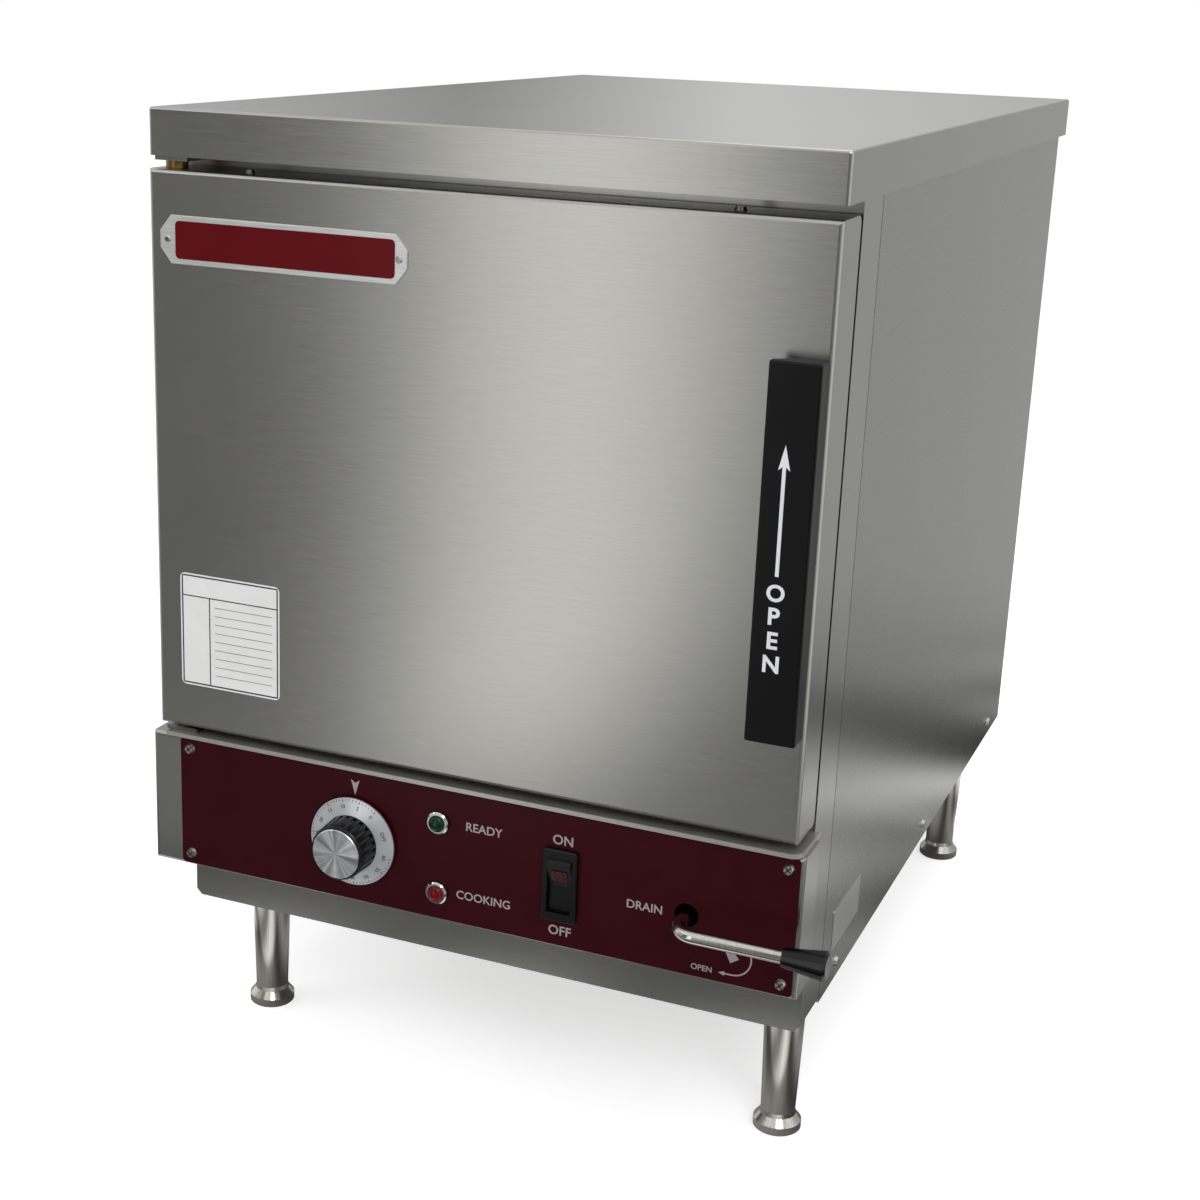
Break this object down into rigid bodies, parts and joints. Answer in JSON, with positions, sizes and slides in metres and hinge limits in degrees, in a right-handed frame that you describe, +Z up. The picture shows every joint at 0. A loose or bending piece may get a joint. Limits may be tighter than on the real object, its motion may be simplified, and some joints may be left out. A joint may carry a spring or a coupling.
{
  "type": "convection steamer",
  "caption": "Countertop convection steamer: stainless cabinet with a hinged door, lift-to-open bar handle, dial timer, pilot lamps, rocker switch and drain lever, on adjustable legs.",
  "frame": {"origin": "on the floor, under the middle of the whole steamer's bounding box", "axes": "+Z up, the door and the controls face -Y, +X to the right seen from the front"},
  "size_m": [0.4926, 0.7736, 0.67],
  "materials": {
    "stainless": "brushed stainless sheet",
    "mill_steel": "plain mill-finish stainless",
    "polished_steel": "polished stainless",
    "zinc_steel": "zinc-plated steel",
    "chrome_trim": "bright chrome",
    "spun_aluminium": "spun",
    "black_plastic": "fine matt moulding",
    "handle_plastic": "fine matt moulding",
    "maroon_overlay": "satin printed sheet",
    "green_lens": "clear coloured lens",
    "red_lens": "clear coloured lens",
    "silicone": "grey silicone",
    "brass": "plain",
    "mineral_wool": "mineral wool",
    "motor_paint": "satin paint",
    "moulded_grey": "moulding"
  },
  "bodies": {
    "cabinet": {"lid": "stainless", "front_frame": "stainless", "side_panel_left": "stainless", "side_panel_right": "stainless", "base_pan": "stainless", "back_panel": "stainless", "side_screws": "polished_steel", "back_screws": "polished_steel", "steam_cavity": "mill_steel", "cavity_insulation": "mineral_wool", "heating_elements": "mill_steel", "fan_baffle": "mill_steel", "fan_motor": "motor_paint", "hinge_brackets": "stainless", "hinge_pins": "polished_steel", "hinge_washers": "brass", "latch_keepers": "zinc_steel", "control_panel": "stainless", "panel_overlay": "maroon_overlay", "overlay_screws": "polished_steel", "drip_ledge": "stainless", "timer_unit": "moulded_grey", "lamp_bezels": "chrome_trim", "ready_lens": "green_lens", "cooking_lens": "red_lens", "switch_housing": "black_plastic", "drain_valve": "brass", "drain_pipe": "mill_steel", "vent_pipe": "mill_steel", "supply_gland": "black_plastic", "contactor": "black_plastic", "terminal_block": "moulded_grey", "legs": "polished_steel"},
    "door": {"door_skin": "stainless", "door_inner": "stainless", "door_core": "mineral_wool", "door_gasket": "silicone", "door_screws": "polished_steel", "hinge_bushes": "brass", "latch_guides": "zinc_steel", "latch_spring": "zinc_steel"},
    "handle": {"door_handle": "handle_plastic", "latch_bar": "zinc_steel"},
    "timer_knob": {"timer_shaft": "zinc_steel", "dial_skirt": "spun_aluminium", "knob_grip": "black_plastic", "knob_cap": "spun_aluminium"},
    "power_rocker": {"rocker": "black_plastic", "rocker_lens": "red_lens"},
    "drain_lever": {"drain_rod": "polished_steel", "drain_grip": "black_plastic", "valve_plug": "polished_steel"},
    "fan": {"fan_wheel": "mill_steel", "fan_shaft": "zinc_steel"},
    "foot_fl": {"foot_front_left": "polished_steel"},
    "foot_fr": {"foot_front_right": "polished_steel"},
    "foot_bl": {"foot_back_left": "polished_steel"},
    "foot_br": {"foot_back_right": "polished_steel"},
    "rack_left": {"pan_rack_left": "polished_steel"},
    "rack_right": {"pan_rack_right": "polished_steel"}
  },
  "joints": [
    {"name": "door_swing", "type": "hinge", "parent": "cabinet", "child": "door", "pos_m": [-0.22875, -0.3329, 0.44], "axis": [0, 0, -1], "range_deg": [0, 180]},
    {"name": "handle_lift", "type": "slide", "parent": "door", "child": "handle", "axis": [0, 0, 1], "range_m": [0, 0.015], "stiffness_N_per_m": 300, "springref_m": -0.02, "deforming": ["latch_spring"]},
    {"name": "timer_turn", "type": "hinge", "parent": "cabinet", "child": "timer_knob", "pos_m": [-0.08775, -0.3572, 0.1995], "axis": [0, 1, 0], "range_deg": [-70, 254]},
    {"name": "rocker_tilt", "type": "hinge", "parent": "cabinet", "child": "power_rocker", "pos_m": [0.06175, -0.3432, 0.1985], "axis": [-1, 0, 0], "range_deg": [0, 18]},
    {"name": "drain_turn", "type": "hinge", "parent": "cabinet", "child": "drain_lever", "pos_m": [0.14725, -0.3072, 0.196], "axis": [0, 1, 0], "range_deg": [0, 90]},
    {"name": "fan_spin", "type": "hinge", "parent": "cabinet", "child": "fan", "pos_m": [-0.01275, 0.2628, 0.432], "axis": [0, 1, 0], "continuous": true},
    {"name": "foot_fl_screw", "type": "slide", "parent": "cabinet", "child": "foot_fl", "axis": [0, 0, -1], "range_m": [0, 0.02]},
    {"name": "foot_fr_screw", "type": "slide", "parent": "cabinet", "child": "foot_fr", "axis": [0, 0, -1], "range_m": [0, 0.02]},
    {"name": "foot_bl_screw", "type": "slide", "parent": "cabinet", "child": "foot_bl", "axis": [0, 0, -1], "range_m": [0, 0.02]},
    {"name": "foot_br_screw", "type": "slide", "parent": "cabinet", "child": "foot_br", "axis": [0, 0, -1], "range_m": [0, 0.02]},
    {"name": "rack_left_lift", "type": "slide", "parent": "cabinet", "child": "rack_left", "axis": [0, 0, 1], "range_m": [0, 0.008]},
    {"name": "rack_right_lift", "type": "slide", "parent": "cabinet", "child": "rack_right", "axis": [0, 0, 1], "range_m": [0, 0.008]}
  ]
}
